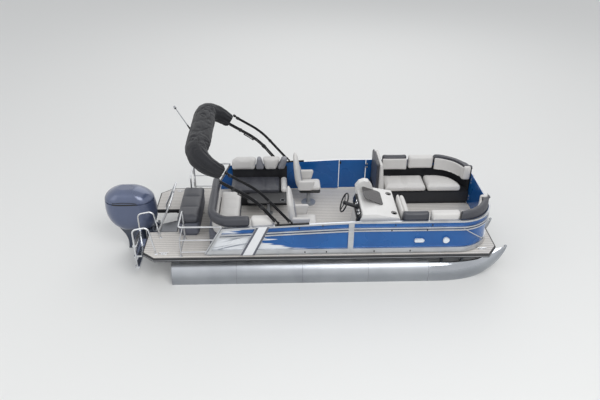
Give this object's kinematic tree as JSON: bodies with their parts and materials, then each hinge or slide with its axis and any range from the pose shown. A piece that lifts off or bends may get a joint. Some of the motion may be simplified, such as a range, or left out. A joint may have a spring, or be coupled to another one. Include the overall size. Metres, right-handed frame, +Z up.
{
  "type": "pontoon boat",
  "caption": "Pontoon boat with fenced deck, lounges, helm console, swivel chairs, folding bimini, gates, telescoping ladder and tilting, steering outboard motor",
  "frame": {"origin": "on the waterline, midway along the deck and on the centreline, under the deck", "axes": "+X towards the bow, +Y to port, +Z up"},
  "size_m": [7.804, 2.59, 3.7193],
  "materials": {
    "woven_flooring": "woven vinyl",
    "rub_rail_vinyl": "satin",
    "mill_aluminium": "brushed",
    "anodised_aluminium": "satin anodised",
    "blue_panel": "gloss",
    "silver_trim": "satin",
    "polished_tube": "polished",
    "clear_lens": "gloss",
    "moulded_base": "matt",
    "pale_vinyl": "soft grain",
    "charcoal_vinyl": "soft grain",
    "black_plastic": "satin",
    "white_moulding": "gloss",
    "tinted_acrylic": "clear tinted",
    "black_anodised": "satin",
    "canvas": "woven",
    "motor_paint": "gloss",
    "propeller_steel": "brushed"
  },
  "bodies": {
    "hull": {"deck": "woven_flooring", "rub_rail": "rub_rail_vinyl", "tubes": "mill_aluminium", "tube_risers": "mill_aluminium", "cross_members": "mill_aluminium", "motor_pod": "mill_aluminium", "fences_aft": "anodised_aluminium", "fences_bow": "anodised_aluminium", "panels": "blue_panel", "accent_panels": "silver_trim", "gate_hinges": "anodised_aluminium", "stern_rails": "anodised_aluminium", "ladder_rails": "polished_tube", "tow_bar": "anodised_aluminium", "cleats": "polished_tube", "bow_lights": "clear_lens", "seat_bases": "moulded_base", "seat_cushions": "pale_vinyl", "lounge_backs": "charcoal_vinyl", "bow_backs": "pale_vinyl", "table_top": "black_plastic", "pedestals": "polished_tube", "helm_console": "white_moulding", "dash_panel": "black_plastic", "throttle": "black_plastic", "windscreen": "tinted_acrylic", "bimini_tracks": "black_anodised", "clamp_bracket": "motor_paint"},
    "side_gate": {"side_gate": "anodised_aluminium", "side_gate_panel": "blue_panel"},
    "bow_gate": {"bow_gate": "anodised_aluminium", "bow_gate_panel": "blue_panel"},
    "stern_gate": {"stern_gate": "anodised_aluminium"},
    "ladder_lower": {"ladder_lower": "polished_tube"},
    "steering_wheel": {"steering_wheel": "black_plastic"},
    "motor_tilt": {"swivel_bracket": "motor_paint"},
    "motor": {"motor_leg": "motor_paint", "motor_cowl": "motor_paint"},
    "propeller": {"propeller": "propeller_steel"},
    "helm_chair": {"helm_chair": "pale_vinyl"},
    "companion_chair": {"companion_chair": "pale_vinyl"},
    "bimini": {"main_bow": "black_anodised", "bimini_boot": "canvas", "light_pole": "polished_tube"},
    "brace_bows": {"brace_bows": "black_anodised"}
  },
  "joints": [
    {"name": "side_gate_hinge", "type": "hinge", "parent": "hull", "child": "side_gate", "pos_m": [1.1, 1.19, 0], "axis": [0, 0, 1], "range_deg": [0, 90]},
    {"name": "bow_gate_hinge", "type": "hinge", "parent": "hull", "child": "bow_gate", "pos_m": [3.195, 0.4555, 0], "axis": [0, 0, 1], "range_deg": [-90, 0]},
    {"name": "stern_gate_hinge", "type": "hinge", "parent": "hull", "child": "stern_gate", "pos_m": [-2.625, 1.198, 0], "axis": [0, 0, 1], "range_deg": [-90, 0]},
    {"name": "ladder_slide", "type": "slide", "parent": "hull", "child": "ladder_lower", "axis": [0, 0, -1], "range_m": [0, 0.3]},
    {"name": "steering_wheel_turn", "type": "hinge", "parent": "hull", "child": "steering_wheel", "pos_m": [0.45719, -0.69, 1.4411], "axis": [0.9312, 0, -0.3644], "range_deg": [-540, 540]},
    {"name": "motor_tilt_hinge", "type": "hinge", "parent": "hull", "child": "motor_tilt", "pos_m": [-3.345, 0, 0.49], "axis": [0, 1, 0], "range_deg": [-5, 35]},
    {"name": "motor_steer", "type": "hinge", "parent": "motor_tilt", "child": "motor", "pos_m": [-3.44, 0, 0], "axis": [0, 0, 1], "range_deg": [-30, 30]},
    {"name": "propeller_spin", "type": "hinge", "parent": "motor", "child": "propeller", "pos_m": [-3.905, 0, -0.405], "axis": [1, 0, 0], "continuous": true},
    {"name": "helm_chair_swivel", "type": "hinge", "parent": "hull", "child": "helm_chair", "pos_m": [-0.32, -0.74, 0], "axis": [0, 0, 1], "continuous": true},
    {"name": "companion_chair_swivel", "type": "hinge", "parent": "hull", "child": "companion_chair", "pos_m": [-0.16, 0.64, 0], "axis": [0, 0, 1], "continuous": true},
    {"name": "bimini_hinge", "type": "hinge", "parent": "hull", "child": "bimini", "pos_m": [-0.8, 0, 1.35461], "axis": [0, -1, 0], "range_deg": [0, 25]},
    {"name": "brace_hinge", "type": "hinge", "parent": "bimini", "child": "brace_bows", "pos_m": [-1.67369, 0, 2.39013], "axis": [0, -1, 0], "range_deg": [-5, 0]}
  ],
  "couplings": [
    {"joint": "motor_steer", "follows": "steering_wheel_turn", "ratio": 0.055556},
    {"joint": "brace_hinge", "follows": "bimini_hinge", "ratio": -0.1697}
  ]
}
